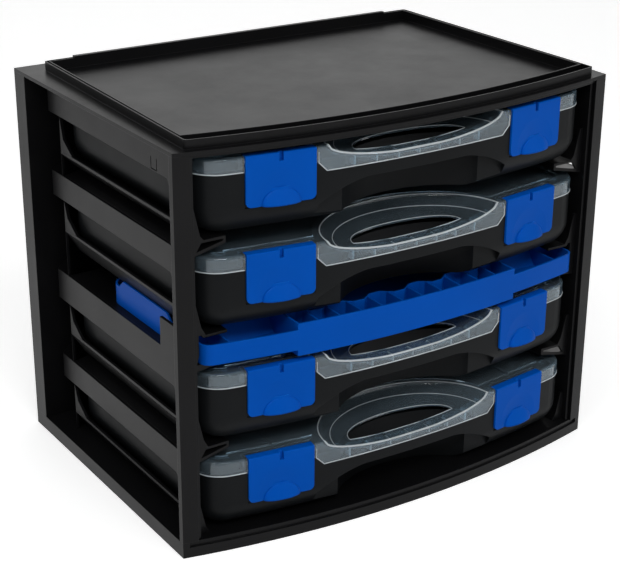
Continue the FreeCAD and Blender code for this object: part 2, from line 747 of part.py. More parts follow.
def build_lid():
    top, low = size("case_height"), lid_side_level
    wall, corner, gap = size("lid_wall"), size("case_corner"), size("lid_gap")
    y_front = front_y(0, size("case_setback"))
    outer = case_block(0, low, top, corner)
    upper = [edge for edge in outer.Edges if edge.BoundBox.ZMin > top - gap]
    outer = outer.makeFillet(size("lid_edge_radius"), upper)
    # Skirt between the latches, with chamfered lower corners
    drop = size("skirt_drop")
    skirt_shape = prism_y(skirt_outline(0.0), apex_y - overrun, case_back)
    band = case_block(0, top - drop, low + gap, corner).cut(case_block(wall, 0, top, corner - wall))
    ahead = box(-case_half, case_half, apex_y, corner_y + size("case_corner"), 0, top)
    skirt = band.common(skirt_shape).common(ahead)
    inner = case_block(wall, low - drop, top - wall, corner - wall)
    # Latch pockets let into the lid's front edge
    pocket_depth = size("latch_pocket_depth")
    side_gap = size("latch_side_gap")
    lining = inner
    for side in (-1, 1):
        lining = lining.cut(on_front(latch_pocket(pocket_depth + wall, side_gap + wall, 0, top), side))
    shell = outer.cut(lining).fuse(skirt)
    for side in (-1, 1):
        shell = shell.cut(on_front(latch_pocket(pocket_depth, side_gap, -overrun, top + overrun), side))
    # Dished handle opening
    centre = Vector(0, y_front, top)
    deep = size("dish_drop")
    z_floor = top - deep
    dish = bowl(dish_half, size("dish_depth"), deep, centre)
    skin = bowl(dish_half + wall, size("dish_depth") + wall, deep + wall, centre)
    shell = shell.fuse(skin.common(case_block(0, z_floor - wall, top, corner))).cut(dish)
    hole_front = y_front + size("hole_front")
    hole = half_oval(hole_half, size("hole_depth"), hole_front, z_floor - 2 * overrun, top)
    shell = shell.cut(hole)
    # Ribs behind the skirt, under the bar
    pitch, thick = size("grip_rib_pitch"), size("grip_rib_thick")
    count = int(hole_half // pitch)
    for index in range(-count, count + 1):
        x = index * pitch
        rib = box(x - thick / 2, x + thick / 2, front_y(x, size("case_setback") + wall / 2),
                  y_front + size("grip_depth"), top - drop, z_floor - wall / 4)
        shell = shell.fuse(rib)
    # Sunk panel inside the border of the lid's top
    border = size("border_width")
    sunk = case_block(border, top - size("border_drop"), top + overrun, corner - border)
    keep = half_oval(dish_half + border / 2, size("dish_depth") + border / 2, y_front,
                     low - drop, top + 2 * overrun)
    sunk = sunk.cut(keep)
    for side in (-1, 1):
        sunk = sunk.cut(on_front(latch_pocket(pocket_depth + border / 2, border, 0, top + 2 * overrun), side))
    shell = shell.cut(sunk)
    y_rib = front_y(latch_x, size("case_setback")) + pocket_depth + border / 2
    for side in (-1, 1):
        x = side * latch_x
        rib = box(x - size("stiffener_width") / 2, x + size("stiffener_width") / 2, y_rib - wall,
                  y_rib + size("stiffener_length"), top - wall - size("border_drop"), top)
        shell = shell.fuse(rib)
    # Lid sheet keeps its thickness under the sunk panel
    sheet_under = case_block(border - wall, top - wall - size("border_drop"), top - wall, corner - border + wall)
    sheet_under = sheet_under.cut(keep)
    for side in (-1, 1):
        sheet_under = sheet_under.cut(on_front(
            latch_pocket(pocket_depth + border / 2, border, 0, top + 2 * overrun), side))
    shell = shell.fuse(sheet_under)
    shell = add_lid_hinges(shell)
    for side in (-1, 1):
        shell = shell.cut(on_front(latch_bore(), side))
    return one(shell)


def add_lid_hinges(shell):
    y, z = hinge_axis()
    radius, gap = size("hinge_barrel"), size("hinge_gap")
    length = size("hinge_length")
    ear = length / 4
    for side in (-1, 1):
        x_mid = side * hinge_x
        x0, x1 = x_mid - length / 2 + ear + gap, x_mid + length / 2 - ear - gap
        knuckle = rod(Vector(x0, y, z), Vector(1, 0, 0), x1 - x0, radius)
        neck = box(x0, x1, y, y + radius, z, lid_side_level + size("lid_wall"))
        bore = rod(Vector(x0 - overrun, y, z), Vector(1, 0, 0), x1 - x0 + 2 * overrun,
                   size("hinge_pin_radius") + size("pin_clearance"))
        shell = shell.fuse(knuckle.fuse(neck)).cut(bore)
    return shell


def latch_axis():
    """Y and Z of the latch's pivot in the latch's own frame, above the bottom of the case."""
    return size("latch_pivot_depth") - size("latch_proud"), size("case_height") - size("latch_pivot_drop")


def latch_bore():
    y, z = latch_axis()
    reach = size("latch_width") / 2 + size("latch_side_gap") + size("lid_wall") / 2
    return rod(Vector(-reach, y, z), Vector(1, 0, 0), 2 * reach,
               size("latch_pin_radius") + size("pin_clearance"))


def build_latch():
    """Latch in its own frame, bottom of the case at zero."""
    half, plate = size("latch_width") / 2, size("latch_plate")
    top, height = size("case_height"), latch_height
    face = -size("latch_proud")
    low = top - height
    pivot_y, pivot_z = latch_axis()
    body = box(-half, half, face, face + plate, low, top)
    foot = [edge for edge in body.Edges
            if edge.BoundBox.ZMax < low + plate and edge.BoundBox.XLength < plate and edge.BoundBox.YLength > 0]
    body = body.makeFillet(size("latch_corner"), foot)
    hood = box(-half, half, face, size("latch_top_depth"), top - plate, top)
    body = body.fuse(hood).removeSplitter()
    brow = [edge for edge in body.Edges
            if edge.BoundBox.ZMin > top - plate / 2 and edge.BoundBox.XLength > half
            and edge.BoundBox.YMax < face + plate / 2]
    body = body.makeFillet(plate / 2, brow)
    barrel = rod(Vector(-half, pivot_y, pivot_z), Vector(1, 0, 0), 2 * half, size("latch_barrel"))
    cheek = box(-half, half, face + plate / 2, pivot_y, pivot_z - size("latch_barrel"), top - plate / 2)
    body = body.fuse(barrel).fuse(cheek)
    # Shallow dent round the finger lip
    chord, proud, rise = size("scoop_half"), size("scoop_proud"), size("scoop_rise")
    dent_radius, dent = size("scoop_dent_radius"), size("scoop_dent_depth")
    ball_radius = (dent_radius ** 2 + dent ** 2) / (2 * dent)
    ball = Part.makeSphere(ball_radius, Vector(0, face + dent - ball_radius, low + rise / 2))
    body = body.cut(ball)
    # Finger lip: part of a cone that flares out at the lower edge
    flare = (chord ** 2 + proud ** 2) / (2 * proud)
    cone = Part.makeCone(flare, flare - proud, rise, Vector(0, face + flare - proud, low))
    ahead = box(-chord, chord, face - 2 * proud, face + plate / 2, low, low + rise)
    body = body.fuse(cone.common(ahead))
    # Notch in the top edge
    notch = size("latch_notch_width") / 2
    body = body.cut(box(-notch, notch, face - overrun, pivot_y - size("latch_barrel") * 0.5,
                        top - size("latch_notch_depth"), top + overrun))
    bore = rod(Vector(-half - overrun, pivot_y, pivot_z), Vector(1, 0, 0), 2 * half + 2 * overrun,
               size("latch_pin_radius") + size("pin_clearance"))
    return one(body.cut(bore))


def build_latch_pin():
    y, z = latch_axis()
    reach = size("latch_width") / 2 + size("latch_side_gap") + size("lid_wall") / 2 - size("pin_clearance")
    return rod(Vector(-reach, y, z), Vector(1, 0, 0), 2 * reach, size("latch_pin_radius"))


def build_hinge_pins():
    y, z = hinge_axis()
    length = size("hinge_length")
    pins = [rod(Vector(side * hinge_x - length / 2, y, z), Vector(1, 0, 0), length,
                size("hinge_pin_radius")) for side in (-1, 1)]
    return Part.Compound(pins)


# Sorting tray

def tray_block(half, inset, back, z0, z1, corner, back_corner):
    return bowed_prism(half, size("case_setback") + inset, back, z0, z1, corner, back_corner)


def row_wall_points(pitch, wall_front):
    """Zigzag course of the wall behind the tool pockets, from left to right."""
    deep, shallow = size("tray_row_deep"), size("tray_row_shallow")
    count = int(size("tray_pocket_count"))
    start = -tray_mid_half
    points = []
    for index in range(count):
        x = start + index * pitch
        depth = deep if index % 2 == 0 else shallow
        for share in (0.25, 0.75):
            x_here = x + share * pitch
            points.append(Vector(x_here, front_y(x_here, wall_front) + depth, 0))
    return points


def build_tray():
    wall, thick = size("tray_wall"), size("tray_divider")
    bottom = tray_level() + size("tray_shelf_gap")
    top = bottom + size("tray_rise")
    mid_top, mid_low = top + size("tray_mid_over"), bottom - size("tray_mid_under")
    half, mid = tray_half, tray_mid_half
    back = tray_back
    corner, back_corner = size("tray_corner"), size("tray_back_corner")
    inset = size("case_setback")
    ends = tray_block(half, 0, back, bottom, top, corner, back_corner)
    middle = tray_block(mid, 0, back, mid_low, mid_top, 0, 0)
    ends_room = tray_block(half - wall, wall, back - wall, bottom + wall, top + overrun,
                           corner - wall, back_corner - wall)
    middle_room = tray_block(mid - wall, wall, back - wall, mid_low + wall, mid_top + overrun, 0, 0)
    keep = tray_block(mid, 0, back, mid_low, mid_top, 0, 0)
    tray = ends.cut(ends_room).cut(keep).fuse(middle.cut(middle_room))
    # Row of tool pockets behind the front wall
    pitch = 2 * mid / size("tray_pocket_count")
    course = row_wall_points(pitch, inset)
    left_end = Vector(-mid + wall / 2, course[0].y, 0)
    right_end = Vector(mid - wall / 2, course[-1].y, 0)
    ahead = [left_end] + course + [right_end]
    behind = [point + Vector(0, thick, 0) for point in reversed(ahead)]
    wall_face = Part.Face(Part.makePolygon(ahead + behind + ahead[:1]))
    divider_top = mid_top - size("tray_divider_drop")
    tray = tray.fuse(prism_z(wall_face, mid_low + wall / 2, divider_top))
    low_y = front_y(0, inset) - overrun
    front_rooms = Part.Face(Part.makePolygon(
        [Vector(-mid + wall / 2, low_y, 0), Vector(mid - wall / 2, low_y, 0)]
        + list(reversed([left_end] + course + [right_end])) + [Vector(-mid + wall / 2, low_y, 0)]))
    inside = prism_z(front_rooms, mid_low + wall / 2, divider_top)
    inside = inside.common(tray_block(mid, wall / 2, back, mid_low, mid_top, 0, 0))
    for index in range(1, int(size("tray_pocket_count"))):
        x = -mid + index * pitch
        sheet_box = box(x - thick / 2, x + thick / 2, low_y, back, mid_low, mid_top)
        tray = tray.fuse(sheet_box.common(inside))
    # Behind the front row the tray is one wide compartment
    row_y = front_y(half, inset) + size("tray_end_row")
    tray = tray.cut(box(-mid - wall, mid + wall, row_y + thick, back - wall, bottom + wall, mid_top + overrun))
    # End sections: a wall behind the front row, a small cell at the end and a sloped floor beside it
    for side in (-1, 1):
        x0, x1 = sorted((side * (mid - wall / 2), side * (half - wall / 2)))
        tray = tray.fuse(box(x0, x1, row_y, row_y + thick, bottom + wall / 2, top - size("tray_divider_drop")))
        x_cell = side * (half - size("tray_end_cell"))
        cell = box(x_cell - thick / 2, x_cell + thick / 2, apex_y, row_y + thick / 2,
                   bottom + wall / 2, top - size("tray_divider_drop"))
        tray = tray.fuse(cell.common(tray_block(half, wall / 2, back, bottom, top, corner, back_corner)))
        ramp = prism_x([(row_y + thick / 2, bottom + wall / 2), (row_y + thick / 2, top - size("tray_divider_drop")),
                        (row_y - size("tray_slope_run"), bottom + wall / 2)],
                       min(side * mid, x_cell), max(side * mid, x_cell))
        tray = tray.fuse(ramp)
        # Taller stretch of the end wall, which fills the slot of the cabinet
        y0, y1 = corner_y + size("tray_lug_front"), tray_back - size("tray_lug_back")
        slope, lug_top = size("tray_lug_slope"), top + size("tray_lug_over")
        lug = prism_x([(y0, bottom + wall), (y0, top), (y0 + slope, lug_top), (y1 - slope, lug_top),
                       (y1, top), (y1, bottom + wall)], min(side * half, side * (half - wall)),
                      max(side * half, side * (half - wall)))
        tray = tray.fuse(lug)
    return one(tray)


def seat(shape, bottom):
    moved = shape.copy()
    moved.translate(Vector(0, 0, bottom))
    return moved


# Back panel as a body: a sheet drawn on the XZ plane and padded forwards

def origin_plane(body, role):
    for feature in body.Origin.OriginFeatures:
        if feature.Role == role:
            return feature
    raise ValueError(role)


def build_back_panel():
    body = doc.addObject("PartDesign::Body", "back_panel")
    body.Label = "back_panel"
    outline = body.newObject("Sketcher::SketchObject", "back_outline")
    outline.AttachmentSupport = [(origin_plane(body, "XZ_Plane"), "")]
    outline.MapMode = "FlatFace"
    half, low, high = half_width - size("wall"), size("plinth_rise"), plate_under
    corners = [Vector(-half, low, 0), Vector(half, low, 0), Vector(half, high, 0), Vector(-half, high, 0)]
    for index in range(4):
        outline.addGeometry(Part.LineSegment(corners[index], corners[(index + 1) % 4]), False)
    for index in range(4):
        outline.addConstraint(Sketcher.Constraint("Coincident", index, 2, (index + 1) % 4, 1))
    for index, kind in ((0, "Horizontal"), (2, "Horizontal"), (1, "Vertical"), (3, "Vertical")):
        outline.addConstraint(Sketcher.Constraint(kind, index))
    width = outline.addConstraint(Sketcher.Constraint("DistanceX", 0, 1, 0, 2, 2 * half))
    shift = outline.addConstraint(Sketcher.Constraint("DistanceX", -1, 1, 0, 2, half))
    foot = outline.addConstraint(Sketcher.Constraint("DistanceY", -1, 1, 0, 1, low))
    rise = outline.addConstraint(Sketcher.Constraint("DistanceY", 0, 1, 3, 1, high - low))
    outline.setExpression(f"Constraints[{width}]", "sizes.case_width + 2 * sizes.side_room - 2 * sizes.wall")
    outline.setExpression(f"Constraints[{shift}]", "sizes.case_width / 2 + sizes.side_room - sizes.wall")
    outline.setExpression(f"Constraints[{foot}]", "sizes.plinth_rise")
    stack = "4 * sizes.case_height + 2 * sizes.case_clearance + sizes.case_seat_gap"
    tray_room = ("sizes.tray_shelf_over_lid + sizes.tray_shelf_gap + sizes.tray_rise"
                 " + sizes.tray_mid_over + sizes.tray_headroom")
    outline.setExpression(f"Constraints[{rise}]",
                          f"{stack} + {tray_room} + sizes.plate_over_case - sizes.plate_thickness")
    pad = body.newObject("PartDesign::Pad", "back_sheet")
    pad.Profile = outline
    pad.setExpression("Length", "sizes.wall")
    body.setExpression("Placement.Base.y",
                       "(sizes.case_setback + sizes.case_depth + sizes.back_room) / 2")
    return body


build_back_panel()
add_part("top_panel", build_top_panel())
add_part("bottom_panel", build_bottom_panel())
left_side = build_left_side()
add_part("left_side_panel", left_side)
add_part("right_side_panel", mirror_x(left_side))
for bay in range(4):
    left_runner = build_left_runner(bay)
    add_part(f"left_runner_{bay + 1}", left_runner)
    add_part(f"right_runner_{bay + 1}", mirror_x(left_runner))
add_part("sorting_tray", build_tray())

base = add_base_hinges(build_base())
lid = build_lid()
latch = build_latch()
latch_pin = build_latch_pin()
hinge_pins = build_hinge_pins()
for number, bottom in enumerate(case_bottoms, start=1):
    prefix = f"case{number}_"
    add_part(prefix + "base", seat(base, bottom))
    add_part(prefix + "lid", seat(lid, bottom))
    add_part(prefix + "hinge_pins", seat(hinge_pins, bottom))
    add_part(prefix + "left_latch", seat(on_front(latch, -1), bottom))
    add_part(prefix + "right_latch", seat(on_front(latch, 1), bottom))
    pins = Part.Compound([on_front(latch_pin, -1), on_front(latch_pin, 1)])
    add_part(prefix + "latch_pins", seat(pins, bottom))

doc.recompute()
parts = [item for item in doc.Objects
         if item.TypeId == "PartDesign::Body" or item.TypeId == "Part::Feature"]
for item in doc.Objects:
    if "Invalid" in item.State or "Error" in item.State:
        raise RuntimeError(f"{item.Label} failed: {item.State}")
for part in parts:
    if part.Shape.isNull() or not part.Shape.isValid():
        raise RuntimeError(f"{part.Label} has no valid shape")
for part in parts:
    part.Shape.exportStep(f"parts/{part.Label}.step")
    box_now = part.Shape.BoundBox
    print(part.Label, len(part.Shape.Solids), len(part.Shape.Faces),
          f"x {box_now.XMin:.1f}..{box_now.XMax:.1f} y {box_now.YMin:.1f}..{box_now.YMax:.1f}",
          f"z {box_now.ZMin:.1f}..{box_now.ZMax:.1f}")
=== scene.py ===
import json
import math

import bmesh
import bpy
from mathutils import Matrix, Vector


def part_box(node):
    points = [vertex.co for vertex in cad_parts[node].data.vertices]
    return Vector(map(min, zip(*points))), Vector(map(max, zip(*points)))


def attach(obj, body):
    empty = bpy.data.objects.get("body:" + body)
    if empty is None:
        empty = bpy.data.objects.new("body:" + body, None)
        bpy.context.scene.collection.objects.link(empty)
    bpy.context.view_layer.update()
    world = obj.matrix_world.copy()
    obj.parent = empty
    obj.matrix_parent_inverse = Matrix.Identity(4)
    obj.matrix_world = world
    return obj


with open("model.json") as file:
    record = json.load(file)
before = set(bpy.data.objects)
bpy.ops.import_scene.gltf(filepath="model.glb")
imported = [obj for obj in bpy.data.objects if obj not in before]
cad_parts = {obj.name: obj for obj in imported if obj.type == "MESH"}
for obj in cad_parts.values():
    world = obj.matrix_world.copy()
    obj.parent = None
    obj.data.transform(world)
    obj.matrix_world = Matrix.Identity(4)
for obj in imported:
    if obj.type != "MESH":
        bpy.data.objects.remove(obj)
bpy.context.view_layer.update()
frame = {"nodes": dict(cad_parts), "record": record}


# Camera at the photograph's viewing angle

IMAGE = (620, 568)
# Focal length and optical axis, in pixels of the photograph
FOCAL = 1590.8
AXIS = (310, 300)
PLACE = (-0.6487, -0.9869, 0.6205)
YAW, PITCH, ROLL = math.radians(33.11), math.radians(23.04), math.radians(0.35)
SENSOR = 36
CLIP_NEAR, CLIP_FAR = 0.05, 30


def make_camera():
    """Camera fitted to the photograph."""
    data = bpy.data.cameras.new("camera")
    cam = bpy.data.objects.new("camera", data)
    bpy.context.scene.collection.objects.link(cam)
    forward = Vector((math.sin(YAW) * math.cos(PITCH), math.cos(YAW) * math.cos(PITCH),
                      -math.sin(PITCH)))
    right = Vector((math.cos(YAW), -math.sin(YAW), 0))
    up = right.cross(forward)
    right, up = (math.cos(ROLL) * right + math.sin(ROLL) * up,
                 math.cos(ROLL) * up - math.sin(ROLL) * right)
    turn = Matrix((right, up, -forward)).transposed()
    cam.matrix_world = Matrix.Translation(PLACE) @ turn.to_4x4()
    data.sensor_fit = "HORIZONTAL"
    data.sensor_width = SENSOR
    data.lens = FOCAL / IMAGE[0] * data.sensor_width
    data.shift_x = (IMAGE[0] / 2 - AXIS[0]) / IMAGE[0]
    data.shift_y = (AXIS[1] - IMAGE[1] / 2) / IMAGE[0]
    data.clip_start, data.clip_end = CLIP_NEAR, CLIP_FAR
    bpy.context.scene.camera = cam


# Materials

MOULDED_IOR, CLEAR_IOR = 1.5, 1.49
# Turn of the bevelled normal at which an edge begins to look rubbed, and looks fully rubbed; the
# lighter edge colour is partly wear and partly a painted highlight along the edge
EDGE_START, EDGE_FULL, BEVEL_SAMPLES = 0.985, 0.8, 6


def new_material(name):
    mat = bpy.data.materials.new(name)
    mat.use_nodes = True
    nodes, links = mat.node_tree.nodes, mat.node_tree.links
    shader = next(n for n in nodes if n.type == "BSDF_PRINCIPLED")
    return mat, nodes, links, shader


def noise(nodes, links, where, scale, detail=3.0, rough=0.5):
    tex = nodes.new("ShaderNodeTexNoise")
    tex.inputs["Scale"].default_value = scale
    tex.inputs["Detail"].default_value = detail
    tex.inputs["Roughness"].default_value = rough
    links.new(where, tex.inputs["Vector"])
    return tex.outputs["Fac"]


def remap(nodes, links, value, low, high, to_low, to_high):
    node = nodes.new("ShaderNodeMapRange")
    node.inputs["From Min"].default_value = low
    node.inputs["From Max"].default_value = high
    node.inputs["To Min"].default_value = to_low
    node.inputs["To Max"].default_value = to_high
    links.new(value, node.inputs["Value"])
    return node.outputs["Result"]


def math_node(nodes, links, kind, a, b):
    node = nodes.new("ShaderNodeMath")
    node.operation = kind
    for socket, value in zip(node.inputs, (a, b)):
        if isinstance(value, (int, float)):
            socket.default_value = value
        else:
            links.new(value, socket)
    return node.outputs[0]


def mix_color(nodes, links, share, a, b):
    node = nodes.new("ShaderNodeMix")
    node.data_type = "RGBA"
    links.new(share, node.inputs[0])
    for socket, value in ((node.inputs[6], a), (node.inputs[7], b)):
        if isinstance(value, tuple):
            socket.default_value = value
        else:
            links.new(value, socket)
    return node.outputs[2]


def solid(color, share=1.0):
    """Colour of a socket, made lighter or darker by share."""
    return tuple(min(1.0, part * share) for part in color) + (1.0,)


def bump_node(nodes, links, height, strength, depth):
    bump = nodes.new("ShaderNodeBump")
    bump.inputs["Strength"].default_value = strength
    bump.inputs["Distance"].default_value = depth
    links.new(height, bump.inputs["Height"])
    return bump


def patches(nodes, links, where, scale, detail, rough, span=(0.3, 0.7), to=(0.0, 1.0)):
    """Noise whose values within span are spread over to."""
    return remap(nodes, links, noise(nodes, links, where, scale, detail, rough), *span, *to)


def edge_mask(nodes, links, radius):
    """Bevelled normal, and a mask that is 1 along sharp edges, where that normal turns away."""
    bevel = nodes.new("ShaderNodeBevel")
    bevel.samples = BEVEL_SAMPLES
    bevel.inputs["Radius"].default_value = radius
    geometry = nodes.new("ShaderNodeNewGeometry")
    dot = nodes.new("ShaderNodeVectorMath")
    dot.operation = "DOT_PRODUCT"
    links.new(bevel.outputs["Normal"], dot.inputs[0])
    links.new(geometry.outputs["Normal"], dot.inputs[1])
    turned = remap(nodes, links, dot.outputs["Value"], EDGE_START, EDGE_FULL, 0.0, 1.0)
    return bevel.outputs["Normal"], turned


def moulded_plastic(name, color, rough, grain=900.0, depth=0.00004, worn_and_highlit_color=(0.1, 0.1, 0.105),
                    wear_and_highlight=0.35, tone=0.2, edge=0.0005, rough_span=0.08, gloss=0.5):
    """Moulded plastic: fine grain, uneven gloss, faint flow marks and edges painted lighter, partly
    as rubbing and partly as a painted highlight along the edges.
    """
    mat, nodes, links, shader = new_material(name)
    coords = nodes.new("ShaderNodeTexCoord").outputs["Object"]
    normal, turned = edge_mask(nodes, links, edge)
    patchy = patches(nodes, links, coords, 60, 5, 0.7, span=(0.45, 0.7))
    rubbed_and_highlit = math_node(nodes, links, "MULTIPLY", turned, patchy)
    rubbed_and_highlit = math_node(nodes, links, "MULTIPLY", rubbed_and_highlit, wear_and_highlight)
    # Slow change of tone over the moulding, from the flow of the plastic
    cloud = patches(nodes, links, coords, 9, 4, 0.55)
    base = mix_color(nodes, links, cloud, solid(color, 1 - tone), solid(color, 1 + tone))
    # Edges take the worn colour: partly rubbed wear, partly a painted highlight along the edges
    base = mix_color(nodes, links, rubbed_and_highlit, base, solid(worn_and_highlit_color))
    links.new(base, shader.inputs["Base Color"])
    # Gloss: patches of handling and a fine grain
    handled = patches(nodes, links, coords, 22, 6, 0.65,
                      to=(rough - rough_span / 2, rough + rough_span / 2))
    duller = math_node(nodes, links, "MULTIPLY", rubbed_and_highlit, 0.2)
    roughness = math_node(nodes, links, "ADD", handled, duller)
    links.new(roughness, shader.inputs["Roughness"])
    fine = noise(nodes, links, coords, grain, 2, 0.6)
    soft = noise(nodes, links, coords, grain / 14, 2, 0.5)
    bump = bump_node(nodes, links, math_node(nodes, links, "ADD", fine, soft), 0.35, depth)
    links.new(normal, bump.inputs["Normal"])
    links.new(bump.outputs["Normal"], shader.inputs["Normal"])
    shader.inputs["IOR"].default_value = MOULDED_IOR
    shader.inputs["Specular IOR Level"].default_value = gloss
    return mat


def clear_plastic(name, color, clear):
    """Clear lid: slightly hazy plastic with soft scuffs and a faint change of tone."""
    mat, nodes, links, shader = new_material(name)
    coords = nodes.new("ShaderNodeTexCoord").outputs["Object"]
    cloud = patches(nodes, links, coords, 14, 4, 0.6)
    base = mix_color(nodes, links, cloud, solid(color, 0.92), solid(color, 1.06))
    links.new(base, shader.inputs["Base Color"])
    scuffs = patches(nodes, links, coords, 12, 4, 0.6, span=(0.35, 0.75), to=(0.02, 0.05))
    links.new(scuffs, shader.inputs["Roughness"])
    haze = patches(nodes, links, coords, 7, 5, 0.6, to=(clear + 0.03, clear - 0.03))
    links.new(haze, shader.inputs["Transmission Weight"])
    bump = bump_node(nodes, links, noise(nodes, links, coords, 40, 2, 0.5), 0.06, 0.00002)
    links.new(bump.outputs["Normal"], shader.inputs["Normal"])
    shader.inputs["IOR"].default_value = CLEAR_IOR
    return mat


def milky_highlight_plastic(name, color, clear):
    """Thick moulded edges of the lids, milkier than the sheet between them; the near-white colour
    is partly a painted highlight along those edges.
    """
    mat, nodes, links, shader = new_material(name)
    coords = nodes.new("ShaderNodeTexCoord").outputs["Object"]
    cloud = patches(nodes, links, coords, 30, 4, 0.6)
    base = mix_color(nodes, links, cloud, solid(color, 0.8), solid(color))
    links.new(base, shader.inputs["Base Color"])
    scuffs = patches(nodes, links, coords, 90, 5, 0.6, span=(0.35, 0.75), to=(0.1, 0.22))
    links.new(scuffs, shader.inputs["Roughness"])
    bump = bump_node(nodes, links, noise(nodes, links, coords, 300, 2, 0.5), 0.2, 0.00003)
    links.new(bump.outputs["Normal"], shader.inputs["Normal"])
    shader.inputs["Transmission Weight"].default_value = clear
    shader.inputs["IOR"].default_value = CLEAR_IOR
    return mat


# The worn edge colours below are partly wear and partly painted highlight lines along the edges;
# the blue one is the strongest
CABINET = moulded_plastic("cabinet_black_look", (0.0045, 0.0045, 0.005), 0.33,
                          worn_and_highlit_color=(0.05, 0.05, 0.052), gloss=0.12)
CASE = moulded_plastic("case_black_look", (0.006, 0.0068, 0.0076), 0.42, grain=1100.0, gloss=0.08)
BLUE = moulded_plastic("accent_blue_look", (0.0, 0.08, 0.45), 0.34, grain=1300.0, depth=0.00003,
                       worn_and_highlit_color=(0.02, 0.25, 0.85), wear_and_highlight=0.9, tone=0.06, gloss=0.04)
PIN = moulded_plastic("pin_black_look", (0.012, 0.012, 0.013), 0.4, gloss=0.2)
LID = clear_plastic("lid_clear_look", (0.57, 0.73, 0.84), 0.925)
# Beads, rib feet and bar panels are milky so that they show as light lines: partly a painted
# highlight
BEAD_HIGHLIGHT = milky_highlight_plastic("lid_bead_highlight_look", (0.86, 0.93, 0.97), 0.4)
PANEL_HIGHLIGHT = milky_highlight_plastic("lid_panel_highlight_look", (0.72, 0.78, 0.82), 0.72)

LOOKS = {"cabinet_black": CABINET, "case_black": CASE, "accent_blue": BLUE, "pin_black": PIN,
         "lid_clear": LID}


def dress_nodes():
    """Give every CAD node the look of its material slot."""
    slots = {item["node"]: item["material_slot"] for item in frame["record"]["subparts"]}
    for name, obj in frame["nodes"].items():
        look = LOOKS[slots[name]]
        if not obj.material_slots:
            obj.data.materials.append(look)
        for place in obj.material_slots:
            place.material = look


# Thin trim of the cases, on the plan that part.py draws (metres). Front walls follow one bow.

BOW_RADIUS, BOW_CENTRE = 0.8142727, 0.6762727
SETBACK, CASE_HALF, CORNER = 0.0043, 0.169, 0.024
CASE_HEIGHT, LID_SIDE, SKIRT_LOW = 0.057, 0.0455, 0.039
DISH_HALF, DISH_DEPTH, DISH_DROP, DISH_FLOOR = 0.076, 0.058, 0.0132, 0.96
HOLE_HALF, HOLE_FRONT, HOLE_DEPTH = 0.048, 0.012, 0.023
SKIRT_HALF, SKIRT_CHAMFER, SKIRT_TOP_DROP, LATCH_END = 0.083, 0.0065, 0.004, 0.1379
INNER_SHARE, LID_BACK = 0.87, 0.06
BAR_BEAD, RIM_BEAD, LINE_BEAD, EDGE_BEAD = 0.0008, 0.0005, 0.0003, 0.00045
BAR_INSET, EDGE_LIFT = 0.0006, 0.0004


def front_y(x, inset=SETBACK):
    """Y of the bowed front wall at x."""
    return BOW_CENTRE - math.sqrt((BOW_RADIUS - inset) ** 2 - x * x)


def dish_point(x, y, top, lift=0.0):
    """Point on the dish of a lid above x and y."""
    shrink = (x / DISH_HALF) ** 2 + ((y - front_y(0)) / DISH_DEPTH) ** 2
    share = min(DISH_FLOOR, math.sqrt(max(0.0, 1.0 - shrink)))
    return Vector((x, y, top - DISH_DROP * share + lift))


def spread(start, end, count):
    """Evenly spaced values from start to end."""
    return [start + (end - start) * index / count for index in range(count + 1)]


def arc_round(half, depth, y0, start, count):
    """Points of an oval from its right end over its back to its left end."""
    for angle in spread(start, math.pi - start, count):
        yield half * math.cos(angle), y0 + depth * math.sin(angle)


def tube(bm, points, radius, closed=False, sides=8):
    """Round bead along the points."""
    count = len(points)
    rings = []
    for index, point in enumerate(points):
        before = points[index - 1] if index or closed else point
        after = points[(index + 1) % count] if index + 1 < count or closed else point
        along = (after - before).normalized()
        across = along.cross(Vector((0, 0, 1)))
        across = across.normalized() if across.length > 1e-4 else Vector((1, 0, 0))
        over = across.cross(along)
        ring = []
        for side in range(sides):
            angle = 2 * math.pi * side / sides
            turned = math.cos(angle) * across + math.sin(angle) * over
            ring.append(bm.verts.new(point + radius * turned))
        rings.append(ring)
    for index in range(count if closed else count - 1):
        ring, after = rings[index], rings[(index + 1) % count]
        for side in range(sides):
            beside = (side + 1) % sides
            face = bm.faces.new((ring[side], ring[beside], after[beside], after[side]))
            face.smooth = True
    if not closed:
        bm.faces.new(list(reversed(rings[0])))
        bm.faces.new(rings[-1])


def slab(bm, layers):
    """Closed slab between two layers, each a grid of points with rows of one length."""
    grids = [[[bm.verts.new(point) for point in line] for line in layer] for layer in layers]
    for grid in grids:
        for line, above in zip(grid, grid[1:]):
            for place in range(len(line) - 1):
                face = bm.faces.new((line[place], line[place + 1], above[place + 1], above[place]))
                face.smooth = True
    borders = [(grid[0], [line[-1] for line in grid], grid[-1], [line[0] for line in grid])
               for grid in grids]
    for near, far in zip(*borders):
        for place in range(len(near) - 1):
            bm.faces.new((near[place], near[place + 1], far[place + 1], far[place]))


def ride_piece(name, bm, body, look):
    """Object from bm that moves with a body of the CAD model."""
    mesh = bpy.data.meshes.new(name)
    bmesh.ops.recalc_face_normals(bm, faces=bm.faces)
    bm.to_mesh(mesh)
    bm.free()
    piece = bpy.data.objects.new(name, mesh)
    bpy.context.scene.collection.objects.link(piece)
    mesh.materials.append(look)
    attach(piece, body)


